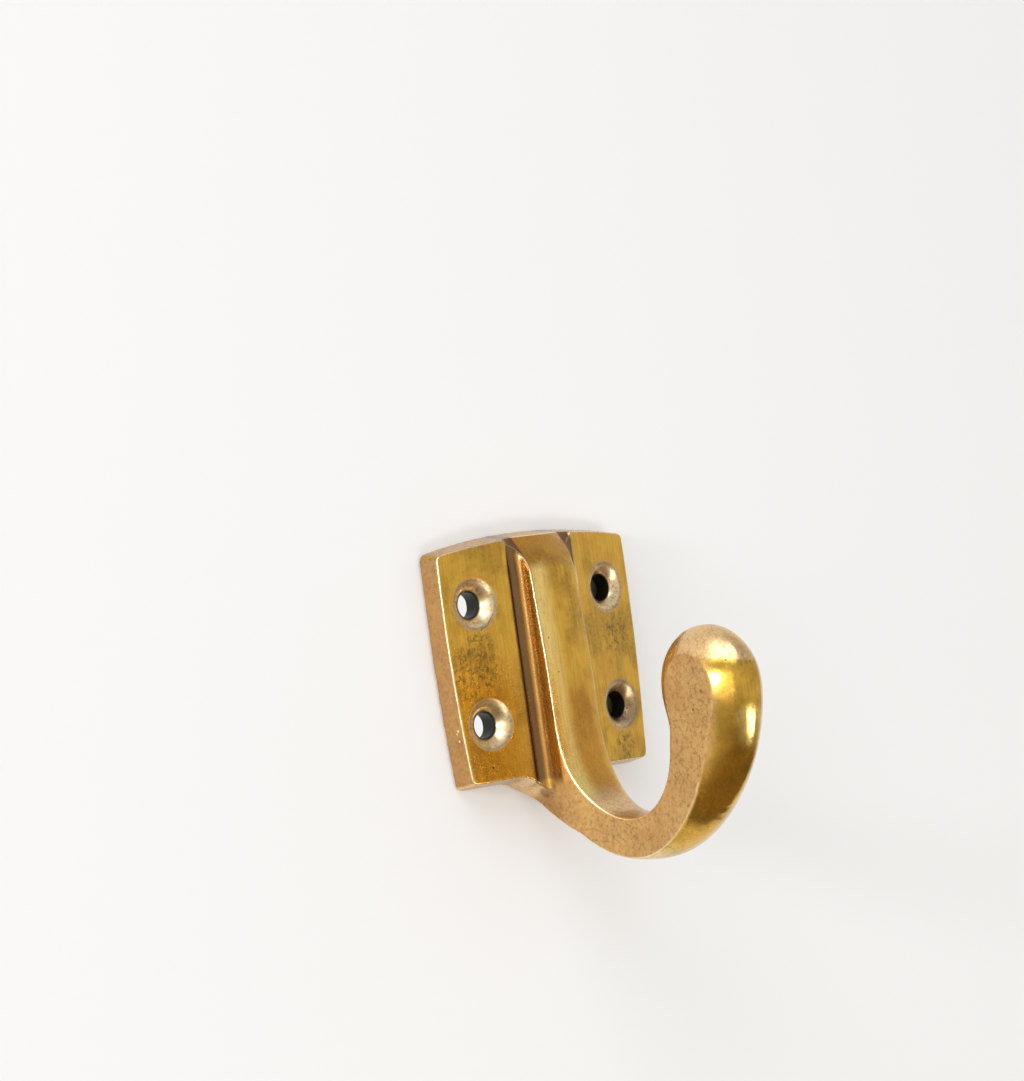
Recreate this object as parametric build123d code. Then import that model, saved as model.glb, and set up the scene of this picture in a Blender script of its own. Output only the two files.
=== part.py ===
from build123d import *
from math import copysign, cos, pi, radians, sin, sqrt, tan
import os

# A cast brass coat hook: a wall plate with a rib up its middle that runs out into a J-shaped arm.
# Millimetres. X is right, Y is back towards the wall and Z is up. The plate's back lies on Y = 0.

# Wall plate, measured round its back
PLATE_H = 45.8
PLATE_TOP_W = 50.6
PLATE_FOOT_W = 47.8
PLATE_BOW = 0.7
PLATE_ARCH = 2.4
PLATE_CORNER_R = 1.5
EDGE_T = 4.3
FLANGE_SLOPE = 8.5
CAST_DRAFT = 9.0

# Rib
RIB_W = 12.6
COVE_W = 2.3
COVE_RISE = 2.6
QUIRK = 0.3
RIB_STUB = 9.8
RIB_TOP_ARC = [(-5.4, 25.6), (-8.4, 21.9), (-11.3, 16.8)]
# The rib's front in side view, (y, z).
RIB_LINE = [(-11.05, 32.0), (-11.1, 14.0), (-11.9, 0.0), (-12.1, -10.0)]

# Screw holes
HOLE_DX = 35.0
HOLE_DZ = 23.3
HOLE_Z = 0.65
BORE_D = 5.1
SINK_D = 8.9
SINK_LIP_R = 1.6

# Arm: the round throat between the rib and the knob, and the metal in front of it
REACH = 60.1
RIB_FRONT = 14.35
ARM_FRONT = 20.45
THROAT_R = (REACH - ARM_FRONT - RIB_FRONT) / 2
THROAT_Y = -RIB_FRONT - THROAT_R
THROAT_Z = -19.0
CUT = 8.0
CROWN = 0.63
GUSSET_R = 7.0
ARM_WAIST_W = 10.6
KNOB_FLAT_W = 12.2

# Knob
KNOB_Y = THROAT_Y - THROAT_R - 8.75
KNOB_Z = THROAT_Z + 10.0
KNOB_LEAN = 80.0
KNOB_W = 14.6
KNOB_OUT = 11.9
KNOB_IN = 11.2
KNOB_H = 11.8
KNOB_SQUARE = 1.85
KNOB_STEPS = (0.0, 0.5, 0.8, 0.95)
RING_POINTS = 12

TOP_Z = PLATE_H / 2
FOOT_Z = -PLATE_H / 2

# Rings round the arm: place round the throat and how far off its circle, the way the outer side faces
# (degrees from straight up towards the front), half width, thickness, inner depth, squareness and the
# stock left for the throat.
STATIONS = [
    (261, 0.0, 212, 9.0, 11.3, 3.0, 4.2, 1.6),
    (215.3, -0.9, 190, 8.4, 9.7, 3.0, 3.0, 1.6),
    (180, -0.45, 172, 8.0, 9.5, 3.0, 2.4, 1.4),
    (149, 0.0, 146, 7.6, 10.3, 3.0, 2.0, 1.0),
    (118, -0.2, 120, 7.4, 13.3, 3.6, 1.85, 0.4),
    (83, -0.15, 97, 7.3, 18.8, 5.0, 1.8, 0.0),
]
# The throat's outline: place round it and how far it leaves the circle.
THROAT_LINE = [
    (274, 1.7), (247, 0.4), (222, 0.0), (200, 0.0), (180, 0.0), (160, 0.0), (136, 0.0), (112, -0.15), (95, -0.4),
]

# Underside of the arm's root in side view, from the wall outwards, (y, z).
ROOT = [(0.0, -24.4), (-5.8, -29.2), (-9.8, -31.9), (-14.6, -34.7), (-18.2, -36.4)]
# Half width of the cheeks in plan, (x, y).
CHEEK = [
    (RIB_W / 2, -10.0),
    (ARM_WAIST_W / 2, -17.0),
    (ARM_WAIST_W / 2, THROAT_Y - 9.0),
    (KNOB_FLAT_W / 2, KNOB_Y - 1.6),
    (KNOB_FLAT_W / 2, -REACH - 2.2),
]


def outward(angle):
    a = radians(angle)
    return Vector(0, -sin(a), cos(a))


def round_throat(angle, further=0.0):
    return Vector(0, THROAT_Y, THROAT_Z) + outward(angle) * (THROAT_R + further)


def bent(value, power):
    return copysign(abs(value) ** (2 / power), value)


def flange_y(x):
    # Front of the flange at a distance x from the middle.
    return -EDGE_T - (PLATE_TOP_W / 2 - abs(x)) * tan(radians(FLANGE_SLOPE))


def side_slab(points, width):
    # Extrudes a side-view polygon of (y, z) points across the part.
    face = make_face(Polyline(*[(0, y, z) for y, z in points], close=True))
    return extrude(face, amount=width / 2, dir=(1, 0, 0), both=True)


def across(saddle, angle, half_w, thick, deep_in, square=2.0, spare=0.0):
    # One station's ring: an ellipse on the saddle's side, squarer on the outer side.
    out = outward(angle)
    centre = saddle + out * deep_in
    deep_in += spare
    ring = []
    for i in range(RING_POINTS):
        t = radians(360 * i / RING_POINTS)
        if cos(t) > 0:
            x, n = half_w * sin(t), -deep_in * cos(t)
        else:
            x = half_w * bent(sin(t), square)
            n = (thick + spare - deep_in) * bent(-cos(t), square)
        ring.append(centre + Vector(x, 0, 0) + out * n)
    steps = [i / RING_POINTS for i in range(RING_POINTS + 1)]
    return make_face(Edge.make_spline(ring, periodic=True, parameters=steps))


def arm_bar():
    # The arm as one smooth bar, wider than its cheeks, ending in the knob's dome.
    rings = [across(round_throat(place, off), *ring) for place, off, *ring in STATIONS]
    up = outward(KNOB_LEAN - 90)
    out = outward(KNOB_LEAN)
    knob = Vector(0, KNOB_Y, KNOB_Z)
    for step in KNOB_STEPS:
        k = sqrt(1 - step * step)
        inner = knob + up * (step * KNOB_H) - out * (KNOB_IN * k)
        rings.append(across(inner, KNOB_LEAN, KNOB_W / 2 * k, (KNOB_IN + KNOB_OUT) * k, KNOB_IN * k, KNOB_SQUARE))
    tip = knob + up * KNOB_H
    return loft(rings + [Vertex(tip.X, tip.Y, tip.Z)])


def rib_bar():
    # Rib and arm's root as a plain slab, down to the arm's first ring.
    place, off, facing, _, _, _, _, spare = STATIONS[0]
    inner = round_throat(place, off) - outward(facing) * spare
    under = round_throat(*STATIONS[1][:2])
    side = [(0, PLATE_H), *ROOT, (under.Y, under.Z), (inner.Y, inner.Z), (inner.Y, PLATE_H)]
    return side_slab(side, 2 * RIB_W)


def cheeks():
    # Plan of the flat cheeks: straight along the rib, waisted under the saddle.
    (x0, y0), (x1, y1) = CHEEK[0], CHEEK[-1]
    ends = ((0, -1), (0, -1))
    sides = [Spline(*[(s * x, y) for x, y in CHEEK], tangents=ends) for s in (-1, 1)]
    back = Polyline((-x0, y0), (-x0, 4), (x0, 4), (x0, y0))
    plan = make_face([*sides, back, Line((-x1, y1), (x1, y1))])
    return extrude(plan, amount=3 * PLATE_H, both=True)


def throat_line():
    rib = [(0, y, z) for y, z in RIB_LINE]
    return Spline(*rib, *[round_throat(place, more) for place, more in THROAT_LINE])


def crowned_cut(path, wide):
    # Sweeps what lies in front of a crowned surface, as wide as given on each side.
    half = ARM_WAIST_W / 2
    bend = (half * half + CROWN * CROWN) / (2 * CROWN)
    arc_w = RIB_W / 2
    drop = bend - sqrt(bend * bend - arc_w * arc_w)
    start = Plane(origin=path @ 0, x_dir=(1, 0, 0), z_dir=path % 0)
    crown = ThreePointArc((-arc_w, -drop), (0, 0), (arc_w, -drop))
    sides = Polyline((arc_w, -drop), (wide, -drop), (wide, CUT), (-wide, CUT), (-wide, -drop), (-arc_w, -drop))
    return sweep(start * make_face([crown, sides]), path=path)


def throat():
    # What the saddle leaves out, from the rib's front round to the knob's inner side.
    return crowned_cut(throat_line(), RIB_W)


def rib_top():
    # What the sloping top of the rib leaves out, coves and all.
    slope = ThreePointArc(*[(0, y, z) for y, z in RIB_TOP_ARC])
    return crowned_cut(slope, RIB_W / 2 + COVE_W)


def plate_outline():
    # Front view of the plate's back edge with the foot's flare into the arm.
    tw = PLATE_TOP_W / 2
    bw = PLATE_FOOT_W / 2
    mid = (tw + bw) / 2 + PLATE_BOW
    rw = RIB_W / 2
    low = FOOT_Z - GUSSET_R
    turn = GUSSET_R * (1 - sqrt(0.5))
    wire = [
        ThreePointArc((-tw, TOP_Z), (0, TOP_Z + PLATE_ARCH), (tw, TOP_Z)),
        ThreePointArc((tw, TOP_Z), (mid, 0), (bw, FOOT_Z)),
        Line((bw, FOOT_Z), (rw + GUSSET_R, FOOT_Z)),
        ThreePointArc((rw + GUSSET_R, FOOT_Z), (rw + turn, FOOT_Z - turn), (rw, low)),
        Line((rw, low), (-rw, low)),
        ThreePointArc((-rw, low), (-rw - turn, FOOT_Z - turn), (-rw - GUSSET_R, FOOT_Z)),
        Line((-rw - GUSSET_R, FOOT_Z), (-bw, FOOT_Z)),
        ThreePointArc((-bw, FOOT_Z), (-mid, 0), (-tw, TOP_Z)),
    ]
    face = make_face(wire)
    corners = [v for v in face.vertices() if abs(v.X) > bw - 0.01]
    return Plane.XZ * fillet(corners, PLATE_CORNER_R)


def plate():
    # The two sloping flanges and the foot of the rib, with a cove and a small quirk at each side of it.
    w = PLATE_TOP_W
    rw = RIB_W / 2
    foot = rw + COVE_W
    low = flange_y(foot) + QUIRK
    high = low - QUIRK - COVE_RISE
    bow = 0.29
    sides = []
    for s in (-1, 1):
        sides += [
            Polyline((0, 0), (s * w, 0), (s * w, flange_y(w)), (s * (foot + QUIRK), flange_y(foot + QUIRK)), (s * foot, low)),
            ThreePointArc((s * foot, low), (s * (rw + bow * COVE_W), low + bow * (high - low)), (s * rw, high)),
            Line((s * rw, high), (s * rw, -RIB_STUB)),
        ]
    face = make_face([*sides, Line((-rw, -RIB_STUB), (rw, -RIB_STUB))])
    roof = extrude(face, amount=PLATE_H, both=True)
    root = side_slab([(1, 40), (1, ROOT[0][1]), *ROOT, (-20, ROOT[-1][1]), (-20, 40)], 2 * w)
    return roof & root


def hole_places():
    return [(x, z) for x in (-HOLE_DX / 2, HOLE_DX / 2) for z in (HOLE_Z - HOLE_DZ / 2, HOLE_Z + HOLE_DZ / 2)]


def screw_holes():
    # Straight bores, each with a countersink cut square to the sloping flange and a blunted lip.
    lip = SINK_D / 2 + SINK_LIP_R * tan(pi / 8)
    turn = SINK_LIP_R * sqrt(0.5)
    low = SINK_LIP_R - turn
    side = [(0, SINK_D / 2), (lip - turn, low), (lip + turn, -low), (lip + turn, -ARM_FRONT), (0, -ARM_FRONT)]
    sink = revolve(make_face(Polyline(*side, close=True)), axis=Axis.Y)
    bore = Rot(90, 0, 0) * Cylinder(BORE_D / 2, 4 * ARM_FRONT)
    tools = []
    for x, z in hole_places():
        lean = copysign(FLANGE_SLOPE, x)
        tools.append(Pos(x, 0, z) * bore)
        tools.append(Pos(x, flange_y(x), z) * Rot(0, 0, lean) * sink)
    return tools


def hook():
    cast = extrude(plate_outline(), amount=16, taper=CAST_DRAFT)
    slab = cheeks()
    low = Pos(0, 0, FOOT_Z - 45) * Box(100, 140, 100)
    body = plate() & cast
    body = body + (rib_bar() & slab & (cast + low))
    body = body + (arm_bar() & slab)
    body = body - throat()
    body = body - rib_top()
    for tool in screw_holes():
        body = body - tool
    return body


os.makedirs("parts", exist_ok=True)
body = hook()
print(body.is_valid, len(body.solids()), body.volume, body.bounding_box())
export_step(body, "parts/hook.step")
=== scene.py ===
# %% [markdown]
# # A cast brass coat hook
#
# The real object is one brass casting: a wall plate with four countersunk screw holes, a rib up
# its middle, and an arm that curves out of the rib's foot into a J and ends in a rounded knob.
# It has hung on a wall for years. The faces that hands and coats rub are smooth and bright, the
# sheltered ones have gone olive and brown, and every edge is worn through to clean metal.
#
# In this lesson we open the finished shape, make a finer mesh of it with softened edges, work out
# where it would wear and where highlights, reflections and shade are painted into its colour, and
# build the brass. All sizes are in metres, with MM for millimetres.

import math

import bmesh
import bpy
import numpy as np
from mathutils import Matrix, Vector, noise
from mathutils.bvhtree import BVHTree
from mathutils.kdtree import KDTree


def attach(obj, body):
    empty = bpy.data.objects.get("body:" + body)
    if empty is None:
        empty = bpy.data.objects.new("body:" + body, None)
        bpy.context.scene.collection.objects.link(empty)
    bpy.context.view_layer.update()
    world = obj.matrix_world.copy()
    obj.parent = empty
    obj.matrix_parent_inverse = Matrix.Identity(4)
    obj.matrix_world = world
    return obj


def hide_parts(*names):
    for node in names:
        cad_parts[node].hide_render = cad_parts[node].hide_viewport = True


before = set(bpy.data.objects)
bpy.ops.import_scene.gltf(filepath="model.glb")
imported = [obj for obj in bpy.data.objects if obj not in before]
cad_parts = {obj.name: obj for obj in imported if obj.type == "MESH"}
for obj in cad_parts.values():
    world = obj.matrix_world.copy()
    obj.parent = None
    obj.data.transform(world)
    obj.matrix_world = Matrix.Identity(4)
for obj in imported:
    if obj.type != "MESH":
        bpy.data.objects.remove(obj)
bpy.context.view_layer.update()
MM = 0.001


# %% [markdown]
# ## The camera
#
# The photograph was taken from the left with a long lens, and tilted a little. Its place was
# worked out from the plate's corners and screw holes: 43 degrees round to the left, 0.9 m away.
# A camera can be turned with Euler angles, but its three axes are simpler to give here, because
# the tilt and the turn are then one matrix.

# %% Camera
CAMERA_PLACE = Vector((-609.1, -661.7, 11.0)) * MM
CAMERA_RIGHT = Vector((0.7306, -0.6692, -0.1357)).normalized()
CAMERA_BACK = Vector((-0.6768, -0.7360, -0.0141)).normalized()
CAMERA_UP = CAMERA_BACK.cross(CAMERA_RIGHT)
LENS_MM = 153.4
SENSOR_MM = 36.0

camera_data = bpy.data.cameras.new("camera")
camera_data.lens = LENS_MM
camera_data.sensor_width = SENSOR_MM
camera = bpy.data.objects.new("camera", camera_data)
bpy.context.collection.objects.link(camera)
axes = Matrix((CAMERA_RIGHT, CAMERA_UP, CAMERA_BACK)).transposed().to_4x4()
camera.matrix_world = Matrix.Translation(CAMERA_PLACE) @ axes
bpy.context.scene.camera = camera
print("camera stands", round(CAMERA_PLACE.length, 3), "m from the plate")

# %% [markdown]
# ## The casting
#
# Poured brass has no knife edges. Sand and polishing leave every corner a few tenths of a
# millimetre round, and that roundness is what catches the light. A Bevel modifier needs clean
# edge loops, which a model with curved cuts doesn't have. So the shape is rebuilt as an even skin
# of small squares with the Remesh modifier, smoothed by hand, and thinned out at the end.

# %% Even skin
SKIN_MM = 0.23
WELD_MM = 0.002
CORNER_ANGLE = math.radians(28)
LINE_STEP_MM = 0.04


def fresh_copy(source, name):
    """A joined-up copy of a mesh, with nothing but its shape."""
    mesh = bpy.data.meshes.new(name)
    work = bmesh.new()
    work.from_mesh(source.data)
    bmesh.ops.remove_doubles(work, verts=work.verts, dist=WELD_MM * MM)
    bmesh.ops.recalc_face_normals(work, faces=work.faces)
    work.to_mesh(mesh)
    work.free()
    piece = bpy.data.objects.new(name, mesh)
    bpy.context.collection.objects.link(piece)
    return piece


def settle(piece):
    """Turns the modifiers of a piece into plain mesh."""
    graph = bpy.context.evaluated_depsgraph_get()
    mesh = bpy.data.meshes.new_from_object(piece.evaluated_get(graph))
    piece.modifiers.clear()
    piece.data = mesh


def tree_of(places):
    """A tree that finds the nearest of many places quickly."""
    finder = KDTree(len(places))
    for index, place in enumerate(places):
        finder.insert(place, index)
    finder.balance()
    return finder


def corner_lines(mesh, outer):
    """Points along the lines where two faces meet, at outer or at inner corners, and their tree."""
    work = bmesh.new()
    work.from_mesh(mesh)
    found = []
    for edge in work.edges:
        if len(edge.link_faces) != 2 or edge.is_convex != outer:
            continue
        if edge.calc_face_angle() > CORNER_ANGLE:
            start, end = [v.co for v in edge.verts]
            count = max(1, round(edge.calc_length() / (LINE_STEP_MM * MM)))
            found += [start.lerp(end, i / count) for i in range(count + 1)]
    work.free()
    print(len(found), "points on", "outer" if outer else "inner", "corners")
    return found, tree_of(found)


hook = fresh_copy(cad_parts["hook"], "hook_casting")
outer_line, outer_tree = corner_lines(hook.data, True)
inner_line, inner_tree = corner_lines(hook.data, False)
drawn = BVHTree.FromPolygons(
    [v.co.copy() for v in hook.data.vertices],
    [p.vertices[:] for p in hook.data.polygons],
)
skin = hook.modifiers.new("skin", "REMESH")
skin.mode = "VOXEL"
skin.voxel_size = SKIN_MM * MM
skin.adaptivity = 0.0
settle(hook)
print("skin has", len(hook.data.vertices), "points and", len(hook.data.polygons), "squares")

# %% [markdown]
# ## Smoothing by hand
#
# The mesh is read into arrays once. Moving each point towards the middle of its neighbours softens
# it. A few rounds of that take out the worst of the small steps that the new skin has where a face
# runs aslant to its squares.

# %% Neighbour averages
FIRST_ROUNDS = 5
PUSH_BACK = 0.3
PULL = 0.6


def read_points(mesh):
    """The places of a mesh's points, one row each."""
    flat = np.empty(len(mesh.vertices) * 3, np.float32)
    mesh.vertices.foreach_get("co", flat)
    return flat.reshape(-1, 3).astype(np.float64)


def read_normals(mesh):
    """Which way the mesh faces at each point."""
    flat = np.empty(len(mesh.vertices) * 3, np.float32)
    mesh.vertex_normals.foreach_get("vector", flat)
    return flat.reshape(-1, 3).astype(np.float64)


def read_edges(mesh):
    """The two points that each edge joins."""
    flat = np.empty(len(mesh.edges) * 2, np.int32)
    mesh.edges.foreach_get("vertices", flat)
    return flat.reshape(-1, 2)


def average(values):
    """Each point's mean over its neighbours."""
    total = np.zeros_like(values)
    for column in range(values.shape[1]):
        total[:, column] += np.bincount(edges[:, 0], values[edges[:, 1], column], len(values))
        total[:, column] += np.bincount(edges[:, 1], values[edges[:, 0], column], len(values))
    return total / degree[:, None]


def soften(points, rounds, share=1.0, push_back=0.0):
    """Moves points to their neighbours' middle. share says how much each point takes part."""
    for _ in range(rounds):
        points = points + PULL * share * (average(points) - points)
        if push_back:
            points = points - push_back * share * (average(points) - points)
    return points


def ramp(values, low, high):
    """0 below low, 1 above high and smooth between them."""
    t = np.clip((values - low) / (high - low), 0, 1)
    return t * t * (3 - 2 * t)


def proud(rounds):
    """How far each point stands out of its surroundings, in millimetres."""
    calm = soften(points, rounds)
    return np.einsum("ij,ij->i", points - calm, normals) / MM


edges = read_edges(hook.data)
points = read_points(hook.data)
degree = np.bincount(edges.ravel(), minlength=len(points)).astype(float)
points = soften(points, FIRST_ROUNDS, push_back=PUSH_BACK)
print(len(edges), "edges join", len(points), "points")

# %% [markdown]
# ## Back onto the drawn shape
#
# Softening also pulls a shape in, so now each point goes to the nearest place on the drawn shape.
# The points next to one of its corner lines go onto that line. Where a stretch of line has none,
# the nearest point goes there. Then they are spread out along it, so that the line runs straight.

# %% Points on corner lines
# how near a point counts as next to a line, in squares of the skin
NEXT_TO_LINE = 0.62
LINE_ROUNDS = 12
EVERY_THIRD = 3

points = np.array([drawn.find_nearest(Vector(p))[0] for p in points])
outer_found = [outer_tree.find(Vector(p)) for p in points]
inner_found = [inner_tree.find(Vector(p)) for p in points]
outer_gap = np.array([gap for place, index, gap in outer_found]) / MM
inner_gap = np.array([gap for place, index, gap in inner_found]) / MM
corner_gap = np.minimum(outer_gap, inner_gap)
nearest = [a[0] if a[2] < b[2] else b[0] for a, b in zip(outer_found, inner_found)]
on_line = corner_gap < NEXT_TO_LINE * SKIN_MM
points[on_line] = np.array(nearest)[on_line]
point_tree = tree_of(points)
for corner in outer_line[::EVERY_THIRD] + inner_line[::EVERY_THIRD]:
    place, index, gap = point_tree.find(corner)
    if not on_line[index] and gap < SKIN_MM * MM:
        points[index] = corner
        on_line[index] = True
line_edges = edges[on_line[edges[:, 0]] & on_line[edges[:, 1]]]
line_degree = np.bincount(line_edges.ravel(), minlength=len(points))
inside = on_line & (line_degree >= 2)
for _ in range(LINE_ROUNDS):
    total = np.zeros_like(points)
    np.add.at(total, line_edges[:, 0], points[line_edges[:, 1]])
    np.add.at(total, line_edges[:, 1], points[line_edges[:, 0]])
    points[inside] += 0.5 * (total[inside] / line_degree[inside, None] - points[inside])
print(int(on_line.sum()), "points lie on corner lines")

# %% [markdown]
# ## Edges and corners
#
# Points that stand proud of their smoothed place are on an edge, and points that lie below it are
# in a corner. A few rounds of smoothing show the near edges, and many rounds the broad hollows.

# %% Proud and sunken points
EDGE_ROUNDS = 3
NEAR_ROUNDS = 12
WIDE_ROUNDS = 140

points = soften(points, EDGE_ROUNDS)
hook.data.vertices.foreach_set("co", points.astype(np.float32).ravel())
hook.data.update()
normals = read_normals(hook.data)
near = proud(NEAR_ROUNDS)
wide = proud(WIDE_ROUNDS)
print("proudest point", round(near.max(), 2), "mm, deepest", round(near.min(), 2), "mm")

# %% [markdown]
# ## Rubbed corners and a hand-finished surface
#
# The rib's right-hand edge and the saddle's are rubbed round by coats, to a millimetre or more.
# The left ones are still crisp. Both come from how many rounds of smoothing a point gets. Broad
# faces get many, so that the facets of the drawing don't show in their reflections, and edges get
# few. After that the whole surface is moved in by up to a few hundredths of a millimetre, in broad
# soft waves, as filing and polishing leave it. A face that is too flat mirrors like glass.

# %% Rubbed edges and waves
BROAD_ROUNDS = 90
LAST_ROUNDS = 2
# wave length and depth in millimetres
WAVES_MM = [(7.0, 0.035), (2.6, 0.012), (1.1, 0.004)]

x_mm, y_mm, z_mm = (points / MM).T
sharp = np.clip(soften(ramp(np.abs(near), 0.012, 0.03)[:, None], 8)[:, 0] * 3, 0, 1)
sharp = np.maximum(sharp, ramp(-corner_gap, -0.7, -0.4))
right_saddle = ramp(x_mm, 3.4, 4.6) * ramp(-x_mm, -7.2, -6.5)
right_saddle *= ramp(-y_mm, 8.6, 9.6) * ramp(y_mm, -42, -38)
right_saddle *= ramp(normals[:, 0], -0.1, 0.1)
share = np.maximum(1 - sharp, right_saddle)[:, None]
points = soften(points, BROAD_ROUNDS, share=share)
points = soften(points, LAST_ROUNDS)
moved = np.zeros(len(points))
for length, depth in WAVES_MM:
    swing = np.array([noise.noise(Vector(p) / (length * MM)) for p in points])
    moved += depth * (np.clip(swing, -1, 1) - 1) / 2
flat_back = ramp(y_mm, -0.6, -0.2)
points += normals * (moved * (1 - flat_back) * MM)[:, None]
print("waves move the skin by up to", round(-moved.min(), 3), "mm")

# %% [markdown]
# ## Where it wears, where dirt stays, and where light and shade are painted
#
# Each mask is a product of soft steps in place, in millimetres, or in how a point faces. `edge` is 1
# on corners that stick out, where polish and coats rub through to clean metal, and its near-white is
# also a painted highlight line along those corners. `crease` is 1 in the inside corners and the broad
# hollows, which are painted a darker brown. `flank` is the rib's side, whose dark brown is painted
# shade, and `cove` the hollow beside it, whose grey band is a painted reflection. `side` marks the
# faces that were left as the file left them: the plate's rim, which is `rim` as well, and the arm's
# flat cheeks. `sink` is 1 in the screw holes, where a tool cut the metal after casting and no cloth
# reaches, and their pale colour is a painted reflection. `lip` is a ring round each, and `bore` their
# straight part, which is painted near-black as painted shade.
#
# `crook` marks what faces up in the hook and on its knob, which dust and hands have dulled, and its
# pale tan there is also a painted highlight of the light above. The strip down the left half of the
# rib and saddle is a painted highlight, a bright band down their rounded front. `amber` is partly
# tarnish and partly a painted dim reflection, on the rib's top slope and in the saddle's middle.
# `flare` is the underside near the wall, whose pale pinkish tan is a painted reflection, `handled` the
# arm's outer half, and `front` all that doesn't face sideways.

# %% Masks for wear and for painted light and shade
HOLE_X_MM = 17.5
HOLE_Z_MM = (0.65 - 11.65, 0.65 + 11.65)
SINK_R_MM = 5.05
LIP_R_MM = 4.75
BORE_R_MM = 2.55

side_look = np.abs(normals[:, 0])
up_look = normals[:, 2]
from_middle = np.abs(x_mm)
to_hole = np.min([np.hypot(from_middle - HOLE_X_MM, z_mm - z) for z in HOLE_Z_MM], axis=0)
handled = ramp(-y_mm, 30.0, 42.0)

rib_side = ramp(from_middle, 5.9, 6.2) * ramp(-from_middle, -8.75, -8.55)
rib_side *= ramp(z_mm, -24.5, -22.5) * ramp(y_mm, -11.6, -11.0)
in_groove = ramp(from_middle, 5.8, 6.2) * ramp(-from_middle, -9.8, -9.2)
sheltered = in_groove * np.maximum(ramp(z_mm, 15.5, 17.5), ramp(-z_mm, 22.5, 24.0))
sheltered = np.maximum(sheltered, 0.7 * handled)
# outer corners: wear, and the near-white they get is also a painted highlight line
edge = ramp(-outer_gap, -0.24, -0.07) * ramp(-y_mm, 0.5, 1.0)
edge *= (1 - 0.7 * right_saddle) * (1 - 0.8 * sheltered)
rim_ends = ramp(np.abs(up_look), 0.9, 0.97) * ramp(y_mm, -6.5, -5.5)
filed = np.maximum(ramp(side_look, 0.86, 0.95), rim_ends)
# a painted highlight: a bright strip down the left half of the rib and saddle
rubbed = ramp(-x_mm, 1.2, 4.9) * ramp(-side_look, -0.7, -0.5)
rubbed *= ramp(-y_mm, 9.5, 10.5) * ramp(y_mm, -40.0, -32.0)
# the rib's top slope and the saddle's middle: tarnish, and a painted dim reflection
top_slope = ramp(z_mm, 17.0, 20.0) * ramp(-y_mm, 4.5, 6.0) * ramp(up_look, 0.1, 0.3)
saddle = ramp(x_mm, -4.0, -2.0) * ramp(-x_mm, -4.5, -2.5) * ramp(-z_mm, 2.0, 10.0)
saddle *= ramp(-y_mm, 10.0, 12.0) * ramp(y_mm, -32.0, -24.0) * ramp(-side_look, -0.8, -0.6)

masks = {
    "edge": edge,
    "crease": np.maximum(ramp(-inner_gap, -0.5, -0.1), ramp(-wide, 0.12, 0.5)),
    # the rib's sides, painted dark brown as painted shade
    "flank": rib_side,
    # the cove beside the rib, whose grey band is a painted reflection
    "cove": rib_side * ramp(from_middle, 7.2, 7.8) * ramp(-y_mm, 4.0, 4.5),
    "side": (1 - rib_side) * filed,
    # the screw holes' cones, whose pale colour is a painted reflection
    "sink": ramp(-to_hole, -SINK_R_MM - 0.15, -SINK_R_MM + 0.15) * ramp(-y_mm, 0.3, 0.6),
    # the bores, painted near-black as painted shade
    "bore": ramp(-to_hole, -BORE_R_MM - 0.3, -BORE_R_MM - 0.05),
    # what faces up out along the arm: dust, and a pale painted highlight
    "crook": ramp(up_look, 0.31, 0.39) * ramp(-y_mm, 15.0, 19.0),
    "rubbed": rubbed,
    "amber": np.maximum(top_slope, saddle),
    # the underside near the wall, made pale as a painted reflection
    "flare": ramp(-up_look, 0.3, 0.55) * ramp(y_mm, -36.0, -28.0),
    "handled": handled,
    "lip": ramp(-np.abs(to_hole - LIP_R_MM), -0.45, -0.15) * ramp(-y_mm, 1.5, 2.0),
    "rim": ramp(y_mm, -8.5, -7.5) * ramp(side_look, 0.8, 0.9),
    "front": 1 - ramp(side_look, 0.75, 0.9),
}
for name, values in masks.items():
    layer = hook.data.attributes.new(name, "FLOAT", "POINT")
    layer.data.foreach_set("value", values.astype(np.float32))
    print(name, "mean", round(float(values.mean()), 3))

# %% [markdown]
# ## Thinning out
#
# The skin is far finer than flat faces need. The Decimate modifier takes points away where that
# changes the shape least, and the masks stay on the points that are left.

# %% Thin out the skin
MOST_TRIANGLES = 185000

hook.data.vertices.foreach_set("co", points.astype(np.float32).ravel())
hook.data.update()
thin = hook.modifiers.new("thin", "DECIMATE")
thin.ratio = min(1.0, MOST_TRIANGLES / (2 * len(hook.data.polygons)))
settle(hook)
hook.data.polygons.foreach_set("use_smooth", np.ones(len(hook.data.polygons), bool))
kept_masks = sorted(a.name for a in hook.data.attributes if a.name in masks)
print("kept", len(hook.data.polygons), "faces and the masks", kept_masks)

# %% [markdown]
# ## Brass
#
# Brass is copper with about a third zinc. Clean, it is a pale warm yellow. In air it tarnishes
# through straw and amber to olive brown, because a thin layer of oxide grows on it. That layer
# still lets the metal's shine through, so the material stays fully metallic and only its colour
# and roughness change. Painted on top of a grey metal it would look like plastic.
#
# Each pattern is measured from the real thing: patches of tarnish are 3 to 8 mm across, the mottle
# on the filed sides about 1 mm, pores from the casting sand about 0.3 mm, and the marks of the
# polishing wheel a few hundredths wide, drawn wider here because the render couldn't show them.

# %% A colour function and a node function
def linear(hex_colour):
    """An sRGB hex colour as the linear RGBA that shaders use."""
    out = []
    for i in (0, 2, 4):
        c = int(hex_colour[i : i + 2], 16) / 255
        out.append(c / 12.92 if c <= 0.04045 else ((c + 0.055) / 1.055) ** 2.4)
    return (*out, 1.0)


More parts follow.
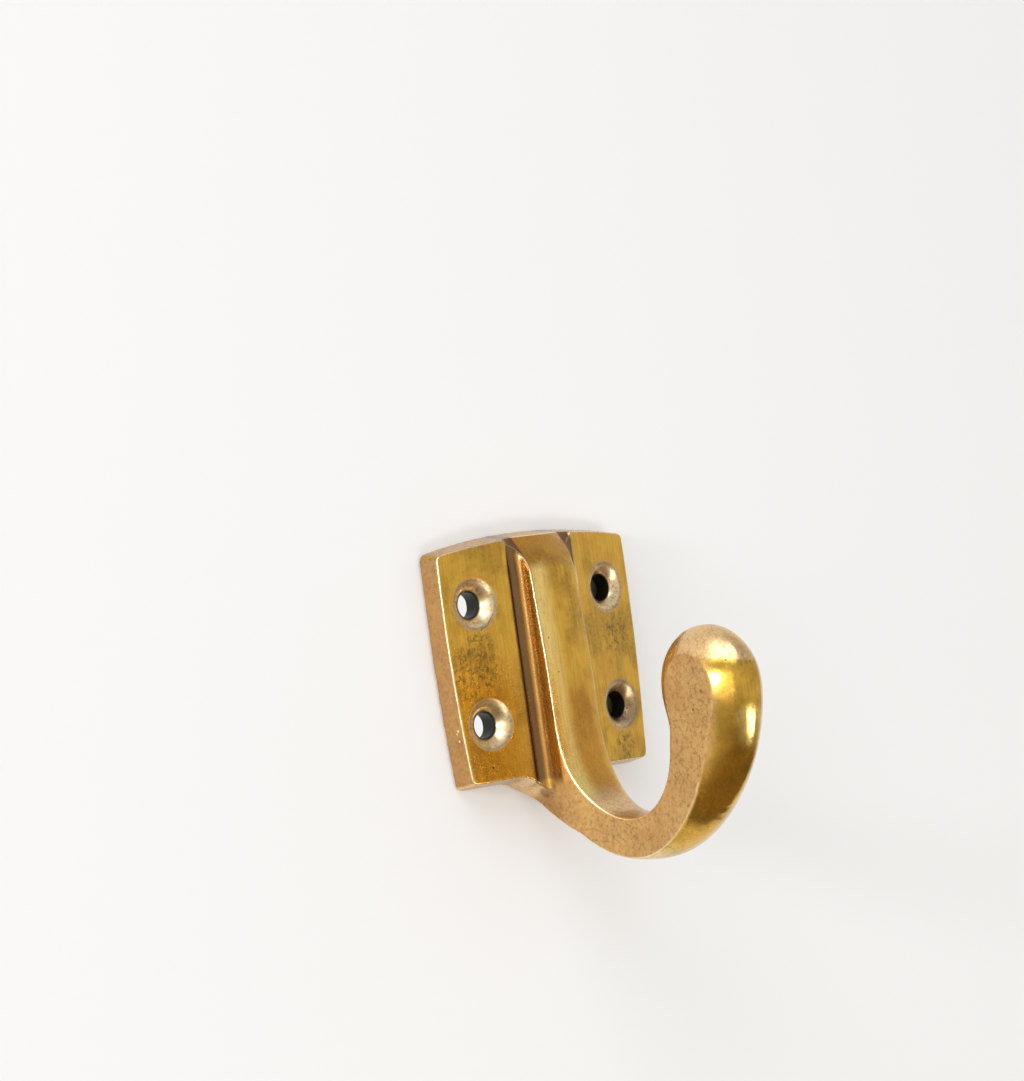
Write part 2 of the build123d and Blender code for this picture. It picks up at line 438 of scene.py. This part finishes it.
def add_node(tree, kind, settings=None, **links):
    """One node. Its sockets go by name, or by i and a number, and take a value or an output."""
    node = tree.nodes.new(kind)
    for key, value in (settings or {}).items():
        setattr(node, key, value)
    for key, value in links.items():
        numbered = key[0] == "i" and key[1:].isdigit()
        socket = node.inputs[int(key[1:]) if numbered else key.replace("_", " ")]
        if isinstance(value, bpy.types.NodeSocket):
            tree.links.new(value, socket)
        else:
            socket.default_value = value
    return node


# %% Colours
GOLDEN = "E3B342"
OLIVE = "A68630"
ORANGE = "CC8C36"
BROWN = "6E4A22"
TAN = "D6AC72"
PINKISH = "C08E5C"
# near-white of worn edges and chips, and on the edges also a painted highlight line
WORN_AND_HIGHLIGHT = "FFF0CC"
# pale tan: dust and a painted highlight on what faces up, and a painted reflection underneath
PALE_TAN = "F0CC96"
# pale colour of the painted reflection in the screw holes' cones
PALE_SINK_REFLECTION = "F2DAAE"
# amber: tarnish, and a painted dim reflection
AMBER = "BE7428"
# painted shade on the rib's sides
FLANK_BROWN = "6E4824"
# grey of the painted reflection in the cove beside the rib
COVE_GREY = "7E6549"
DARK_OLIVE = "665A26"
# yellow of the painted highlights on the rib, the saddle and the arm
BRIGHT = "FFDF88"
UMBER = "9A6C42"
RUSSET = "A0683A"
OCHRE = "BE8C44"
# near-black of the painted shade inside the bores
DARK_BORE = "3A3832"
print("clean brass is", GOLDEN, "and worn edges are", WORN_AND_HIGHLIGHT)

# %% The brass material
brass = bpy.data.materials.new("aged_cast_brass")
brass.use_nodes = True
tree = brass.node_tree
tree.nodes.clear()
place = add_node(tree, "ShaderNodeTexCoord").outputs["Object"]
where = {}
for name in masks:
    reader = add_node(tree, "ShaderNodeAttribute", {"attribute_name": name})
    where[name] = reader.outputs["Fac"]
print("the brass reads", len(where), "masks")

# %% [markdown]
# ## Patterns
#
# All patterns are cloudy noise, cut to a soft threshold. They differ in how many clouds there are
# to a millimetre, along each of the three directions. The streaks are long in z because the wheel
# ran up and down the rib, and the hairlines are long in x, where a file went across.

# %% Patterns
# name: clouds per millimetre along x, y, z, then detail, roughness, twist, and the threshold's ends
PATTERNS = {
    "patches": ((0.13, 0.13, 0.11), 6.0, 0.60, 0.3, 0.44, 0.62),
    "clouds": ((0.30, 0.30, 0.24), 5.0, 0.62, 0.6, 0.42, 0.66),
    "mottle": ((1.1, 1.1, 1.0), 4.0, 0.70, 0.8, 0.45, 0.62),
    "streaks": ((2.6, 2.6, 0.07), 4.0, 0.65, 0.2, 0.42, 0.66),
    "hairlines": ((0.12, 0.5, 5.0), 2.0, 0.55, 0.1, 0.50, 0.72),
    "speckle": ((1.3, 1.3, 1.3), 4.0, 0.75, 0.2, 0.48, 0.64),
    "pores": ((3.4, 3.4, 3.4), 1.0, 0.5, 0.0, 0.60, 0.74),
}
pattern = {}
for name, (per_mm, detail, roughness, twist, low, high) in PATTERNS.items():
    stretched = add_node(
        tree, "ShaderNodeVectorMath", {"operation": "MULTIPLY"},
        i0=place, i1=[count / MM for count in per_mm],
    )
    cloud = add_node(
        tree, "ShaderNodeTexNoise", None,
        Vector=stretched.outputs[0], Scale=1.0, Detail=detail, Roughness=roughness, Distortion=twist,
    )
    cut = add_node(
        tree, "ShaderNodeMapRange", {"interpolation_type": "SMOOTHSTEP"},
        i0=cloud.outputs[0], i1=low, i2=high, i3=0.0, i4=1.0,
    )
    pattern[name] = cut.outputs[0]

print(len(pattern), "patterns")

# %% [markdown]
# ## Marks
#
# The old hook has marks of its own: small dark pits where gas bubbled in the metal, a crack in one
# screw hole's lip, pale chips on the plate's left rim, brown smudges and patches of olive patina.
# A pale spot on the front of the arm is a painted highlight, round the arm's tall highlight. Each is
# one soft ball or a few at its place, and where they meet the stronger one counts. A crack or a
# scratch is a row of small balls.

# %% Places of the marks
# x, y, z and half width in millimetres
PITS_MM = [
    (-4.79, -11.14, 3.99, 0.22), (-3.79, -11.56, -2.77, 0.22), (-3.72, -56.97, -4.26, 0.22),
    (-6.04, -48.88, -12.73, 0.35), (-6.11, -51.49, -9.35, 0.30), (-18.3, -5.3, -19.2, 0.5),
    (-17.6, -5.4, -19.9, 0.3),
]
CHIPS_MM = [(-24.24, -3.3, -11.3, 0.34), (-24.3, -2.9, -11.9, 0.2), (-24.1, -3.2, -13.3, 0.3)]
PATINA_MM = [
    (-19.5, -4.5, -1.0, 8.0), (-18.0, -5.0, 3.5, 5.0), (18.5, -4.5, 3.0, 5.5),
    (17.0, -5.0, -19.0, 4.0), (0.0, -57.5, -3.0, 5.0),
]
SMUDGES_MM = [
    (-6.7, -7.69, -24.7, 1.7), (-6.8, -6.2, -25.6, 1.5), (18.8, -3.7, -11.6, 5.4),
    (14.0, -4.0, 12.5, 2.6),
]
# a painted highlight: a pale spot round the arm's tall highlight
ARM_HIGHLIGHT_MM = [(-1.1, -58.7, -15.6, 3.6), (-1.1, -58.7, -19.0, 3.6)]


def row_of_balls(start, end, count, half):
    """Small balls in a line, for a crack or a scratch."""
    return [(*middle, half) for middle in np.linspace(start, end, count).tolist()]


PITS_MM += row_of_balls((-16.72, -5.57, 7.28), (-15.2, -5.6, 7.9), 5, 0.2)
PITS_MM += row_of_balls((-15.2, -5.6, 7.9), (-13.6, -5.84, 9.84), 7, 0.2)
PITS_MM += [(19.7, -3.7, -12.7, 0.4), (20.3, -3.9, -12.0, 0.3), (18.9, -3.8, -13.4, 0.3)]
CHIPS_MM += row_of_balls((-4.22, -39.98, -36.56), (-2.95, -40.77, -36.96), 5, 0.16)
marks = {
    "pit": PITS_MM,
    "chip": CHIPS_MM,
    "smudge": SMUDGES_MM,
    "patina": PATINA_MM,
    "polished": ARM_HIGHLIGHT_MM,
}
print(sum(len(balls) for balls in marks.values()), "balls mark the brass")

# %% Soft balls
# how much of a ball's half width has its full strength
SOLID_SHARE = 0.45
spots = {}
for name, balls in marks.items():
    total = None
    for x, y, z, half in balls:
        away = add_node(
            tree, "ShaderNodeVectorMath", {"operation": "DISTANCE"},
            i0=place, i1=(x * MM, y * MM, z * MM),
        )
        ball = add_node(
            tree, "ShaderNodeMapRange", {"interpolation_type": "SMOOTHSTEP"},
            i0=away.outputs["Value"], i1=half * MM, i2=SOLID_SHARE * half * MM, i3=0.0, i4=1.0,
        )
        if total is None:
            total = ball.outputs[0]
        else:
            stronger = add_node(
                tree, "ShaderNodeMath", {"operation": "MAXIMUM"}, i0=total, i1=ball.outputs[0],
            )
            total = stronger.outputs[0]
    spots[name] = total
print("marks:", ", ".join(spots))

# %% [markdown]
# ## Colour, gloss and relief
#
# The colour is built in layers. Each layer follows a pattern, a mask or a mark, may be held to
# another one, and mixes its colour over what lies below. The same patterns change the roughness and
# push the surface in and out by thousandths of a millimetre. A thin coat of old wax on top is what
# makes the brightest highlights white rather than yellow.

# %% Layers of colour, from the bare metal out, with painted highlights, reflections and shade among them
FULL = 1.0
# what it follows, what it is held to, how strong, colour
LAYERS = [
    (pattern["patches"], FULL, 0.55, OLIVE),
    (pattern["clouds"], FULL, 0.40, ORANGE),
    (spots["patina"], pattern["mottle"], 0.75, DARK_OLIVE),
    # tarnish, and a painted dim reflection on the top slope and the saddle
    (where["amber"], FULL, 0.50, AMBER),
    # painted highlight down the left half of the rib and saddle
    (where["rubbed"], FULL, 0.88, BRIGHT),
    # painted reflection: the underside made pale
    (where["flare"], FULL, 0.9, PALE_TAN),
    # painted highlight round the arm's tall highlight
    (spots["polished"], FULL, 0.75, BRIGHT),
    (where["side"], FULL, 0.75, TAN),
    # dust, and a pale painted highlight on what faces up
    (where["crook"], FULL, 0.85, PALE_TAN),
    (pattern["clouds"], where["side"], 0.45, OCHRE),
    (pattern["mottle"], where["side"], 0.55, PINKISH),
    (pattern["mottle"], where["crook"], 0.45, PINKISH),
    (pattern["speckle"], where["side"], 0.50, RUSSET),
    (where["rim"], FULL, 0.40, UMBER),
    (pattern["speckle"], pattern["patches"], 0.35, DARK_OLIVE),
    (pattern["streaks"], where["front"], 0.22, BROWN),
    # painted reflection: the screw holes' cones made pale
    (where["sink"], FULL, 0.85, PALE_SINK_REFLECTION),
    (pattern["speckle"], where["sink"], 0.5, BROWN),
    (where["lip"], FULL, 0.45, BROWN),
    # painted shade: the rib's sides made dark brown
    (where["flank"], FULL, 0.85, FLANK_BROWN),
    (pattern["streaks"], where["flank"], 0.55, BROWN),
    # painted reflection: a grey band in the cove
    (where["cove"], FULL, 0.65, COVE_GREY),
    # inside corners and broad hollows, painted a darker brown
    (where["crease"], FULL, 0.55, BROWN),
    (spots["smudge"], FULL, 0.65, BROWN),
    # worn corners, with a painted highlight line along them
    (where["edge"], FULL, 0.95, WORN_AND_HIGHLIGHT),
    # painted shade inside the bores
    (where["bore"], FULL, 1.0, DARK_BORE),
    (spots["pit"], FULL, 0.85, BROWN),
    (spots["chip"], FULL, 0.8, WORN_AND_HIGHLIGHT),
]
colour = linear(GOLDEN)
for follows, held_to, strength, hex_colour in LAYERS:
    held = add_node(tree, "ShaderNodeMath", {"operation": "MULTIPLY"}, i0=follows, i1=held_to)
    amount = add_node(tree, "ShaderNodeMath", {"operation": "MULTIPLY"}, i0=held.outputs[0], i1=strength)
    mix = add_node(
        tree, "ShaderNodeMix", {"data_type": "RGBA"},
        i0=amount.outputs[0], i6=colour, i7=linear(hex_colour),
    )
    colour = mix.outputs[2]
print(len(LAYERS), "layers of colour")

# %% Gloss and relief
POLISH = 0.25
# what it follows, and how much it adds to the roughness
MATTER = [
    (where["handled"], -0.09),
    (where["side"], 0.12),
    (pattern["clouds"], 0.05),
    (pattern["speckle"], 0.07),
    (where["crook"], 0.08),
    (where["bore"], 0.25),
    (where["sink"], 0.04),
]
rough = POLISH
for follows, adds in MATTER:
    step = add_node(
        tree, "ShaderNodeMath", {"operation": "MULTIPLY_ADD"}, i0=follows, i1=adds, i2=rough,
    )
    rough = step.outputs[0]
# what it follows, and how high it stands in thousandths of a millimetre
RELIEF = [
    (pattern["speckle"], -1.0),
    (pattern["mottle"], 1.2),
    (pattern["streaks"], 0.6),
    (pattern["hairlines"], 0.5),
    (pattern["pores"], -1.5),
    (spots["pit"], -60.0),
    (spots["chip"], -30.0),
]
height = 0.0
for follows, microns in RELIEF:
    step = add_node(
        tree, "ShaderNodeMath", {"operation": "MULTIPLY_ADD"}, i0=follows, i1=microns / 1000, i2=height,
    )
    height = step.outputs[0]
bump = add_node(tree, "ShaderNodeBump", None, Strength=1.0, Distance=MM, Height=height)
shader = add_node(
    tree, "ShaderNodeBsdfPrincipled", None,
    Base_Color=colour, Metallic=1.0, Roughness=rough, Normal=bump.outputs["Normal"],
    Coat_Weight=0.35, Coat_Roughness=0.14,
)
add_node(tree, "ShaderNodeOutputMaterial", None, Surface=shader.outputs["BSDF"])
print(brass.name, "has", len(tree.nodes), "nodes")

# %% Dress the casting
hook.data.materials.clear()
hook.data.materials.append(brass)
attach(hook, "root")
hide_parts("hook")
print("casting is dressed")

# %% [markdown]
# ## The wall
#
# The photograph's background is a plain pale wall. Here it is a sheet just behind the plate, cut
# into cells. The cell behind the left-hand screw holes is open, so that the pale room beyond shows
# through them, and the one behind the right-hand holes is a dark sheet, painted shade that makes
# those holes look dark, as each pair looks in the photograph. Part of the wall's brightness is its
# own light for the camera and for reflections, so it stays even, and the rest is ordinary matt
# white, which keeps the shadow. From behind, the wall is clear.

# %% Wall sheet
WALL_COLOUR = "F3F3F3"
WALL_GAP_MM = 0.4
WALL_REACH_M = 3.0
# where the sheet is cut, in millimetres along x and z
COLUMNS_MM = (-21.5, -13.0, 13.0, 21.5)
ROWS_MM = (-21.0, 21.5)
OPENING = (1, 1)
# the cell behind the right-hand holes is a dark sheet of painted shade
SHADED_CELL = (3, 1)
columns = [-WALL_REACH_M, *[x * MM for x in COLUMNS_MM], WALL_REACH_M]
rows = [-WALL_REACH_M, *[z * MM for z in ROWS_MM], WALL_REACH_M]
across = len(columns)
wall_points = [(x, WALL_GAP_MM * MM, z) for z in rows for x in columns]
cells = [(i, j) for j in range(len(rows) - 1) for i in range(across - 1) if (i, j) != OPENING]
wall_faces = []
for i, j in cells:
    corner = across * j + i
    wall_faces.append((corner, corner + 1, corner + across + 1, corner + across))
wall_mesh = bpy.data.meshes.new("wall")
wall_mesh.from_pydata(wall_points, [], wall_faces)
wall = bpy.data.objects.new("wall", wall_mesh)
bpy.context.collection.objects.link(wall)
print("wall has", len(wall_faces), "faces")

# %% Wall paint
OWN_LIGHT = 0.22

paint = bpy.data.materials.new("matt_wall_paint")
paint.use_nodes = True
tree = paint.node_tree
tree.nodes.clear()
rays = add_node(tree, "ShaderNodeLightPath")
matt = add_node(tree, "ShaderNodeBsdfDiffuse", None, Color=linear(WALL_COLOUR))
own = add_node(tree, "ShaderNodeEmission", None, Color=linear(WALL_COLOUR), Strength=1.0)
seen = add_node(
    tree, "ShaderNodeMath", {"operation": "MAXIMUM"},
    i0=rays.outputs["Is Camera Ray"], i1=rays.outputs["Is Glossy Ray"],
)
seen = add_node(
    tree, "ShaderNodeMath", {"operation": "MAXIMUM"},
    i0=seen.outputs[0], i1=rays.outputs["Is Transmission Ray"],
)
share = add_node(tree, "ShaderNodeMath", {"operation": "MULTIPLY"}, i0=seen.outputs[0], i1=OWN_LIGHT)
front = add_node(
    tree, "ShaderNodeMixShader", None, i0=share.outputs[0], i1=matt.outputs[0], i2=own.outputs[0],
)
behind = add_node(tree, "ShaderNodeNewGeometry").outputs["Backfacing"]
clear = add_node(tree, "ShaderNodeBsdfTransparent")
whole = add_node(tree, "ShaderNodeMixShader", None, i0=behind, i1=front.outputs[0], i2=clear.outputs[0])
add_node(tree, "ShaderNodeOutputMaterial", None, Surface=whole.outputs[0])
wall.data.materials.append(paint)
print("paint gives", OWN_LIGHT, "of its brightness itself")

# %% Dark sheet of painted shade
SHADE_SHEET_COLOUR = "6A655A"

shade_sheet = bpy.data.materials.new("bare_plaster")
shade_sheet.use_nodes = True
tree = shade_sheet.node_tree
tree.nodes.clear()
dark_matt = add_node(tree, "ShaderNodeBsdfDiffuse", None, Color=linear(SHADE_SHEET_COLOUR))
behind = add_node(tree, "ShaderNodeNewGeometry").outputs["Backfacing"]
clear = add_node(tree, "ShaderNodeBsdfTransparent")
whole = add_node(tree, "ShaderNodeMixShader", None, i0=behind, i1=dark_matt.outputs[0], i2=clear.outputs[0])
add_node(tree, "ShaderNodeOutputMaterial", None, Surface=whole.outputs[0])
wall.data.materials.append(shade_sheet)
# the dark sheet stands as painted shade behind the right-hand holes
for cell, polygon in zip(cells, wall.data.polygons):
    polygon.material_index = int(cell == SHADED_CELL)
print("cell", SHADED_CELL, "is bare plaster")

# %% [markdown]
# ## The light
#
# Metal shows what is around it, so the lamps are placed by what the hook mirrors. A small window to
# its left makes the white spot on the knob. A dim card beside it lights the screw holes' right
# sides, a low card in front makes the tall highlight on the arm, and a broad panel overhead on the
# left is the main light and makes the shadow.

# %% Lamps
LAMP_DISTANCE_M = 1.2
# the lamps face a point halfway out along the arm
AIM = Vector((0, -0.03, 0))


def panel(name, azimuth, elevation, width, height, power, colour="FFFFFF"):
    """A soft lamp that faces the hook. Azimuth 0 is in front of it, 90 to its right."""
    a = math.radians(azimuth)
    e = math.radians(elevation)
    way = Vector((math.sin(a) * math.cos(e), -math.cos(a) * math.cos(e), math.sin(e)))
    data = bpy.data.lights.new(name, "AREA")
    data.shape = "RECTANGLE"
    data.size = width
    data.size_y = height
    data.energy = power
    data.color = linear(colour)[:3]
    lamp = bpy.data.objects.new(name, data)
    lamp.location = AIM + way * LAMP_DISTANCE_M
    lamp.rotation_mode = "QUATERNION"
    lamp.rotation_quaternion = way.to_track_quat("Z", "Y")
    bpy.context.collection.objects.link(lamp)
    brightness = round(power / (math.pi * width * height), 1)
    print(name, "shines", brightness, "times as bright as white paper")


panel("left_window", -79, 10, 0.19, 0.21, 5.8)
panel("left_card", -64, 3, 0.60, 0.60, 1.4)
panel("low_card", 3, -30, 0.95, 0.26, 4.0)
panel("top_panel", -62, 52, 1.0, 0.8, 7.4, "F2F4FF")

# %% [markdown]
# ## The room
#
# The rest of what the metal mirrors is the room: dim and brown near the floor, pale at eye level
# and grey higher up. The camera sees it as the wall's colour, and so does whatever faces what lies
# beyond the wall.

# %% Surroundings
ROOM_LOW = "86745C"
ROOM_MID = "E0DDD6"
ROOM_HIGH = "CCCED2"
world = bpy.data.worlds.new("room")
bpy.context.scene.world = world
world.use_nodes = True
tree = world.node_tree
tree.nodes.clear()
way = add_node(tree, "ShaderNodeTexCoord").outputs["Generated"]
parts = add_node(tree, "ShaderNodeSeparateXYZ", None, Vector=way)
upward = parts.outputs["Z"]
lower = add_node(
    tree, "ShaderNodeMapRange", {"interpolation_type": "SMOOTHSTEP"},
    i0=upward, i1=-0.7, i2=-0.1, i3=0.0, i4=1.0,
)
upper = add_node(
    tree, "ShaderNodeMapRange", {"interpolation_type": "SMOOTHSTEP"},
    i0=upward, i1=0.2, i2=0.8, i3=0.0, i4=1.0,
)
room = add_node(
    tree, "ShaderNodeMix", {"data_type": "RGBA"},
    i0=lower.outputs[0], i6=linear(ROOM_LOW), i7=linear(ROOM_MID),
)
room = add_node(
    tree, "ShaderNodeMix", {"data_type": "RGBA"},
    i0=upper.outputs[0], i6=room.outputs[2], i7=linear(ROOM_HIGH),
)
air = add_node(tree, "ShaderNodeBackground", None, Color=room.outputs[2], Strength=1.0)
pale = add_node(tree, "ShaderNodeBackground", None, Color=linear(WALL_COLOUR), Strength=1.0)
rays = add_node(tree, "ShaderNodeLightPath")
past_wall = add_node(
    tree, "ShaderNodeMapRange", {"interpolation_type": "SMOOTHSTEP"},
    i0=parts.outputs["Y"], i1=0.0, i2=0.2, i3=0.0, i4=1.0,
)
shown = add_node(
    tree, "ShaderNodeMath", {"operation": "MAXIMUM"},
    i0=rays.outputs["Is Camera Ray"], i1=past_wall.outputs[0],
)
sky = add_node(
    tree, "ShaderNodeMixShader", None, i0=shown.outputs[0], i1=air.outputs[0], i2=pale.outputs[0],
)
add_node(tree, "ShaderNodeOutputWorld", None, Surface=sky.outputs[0])
print(world.name, "has", len(tree.nodes), "nodes")

# %% [markdown]
# ## Finish
#
# The view transform is Standard, so a colour renders as it is written.

# %% View transform
bpy.context.scene.view_settings.view_transform = "Standard"
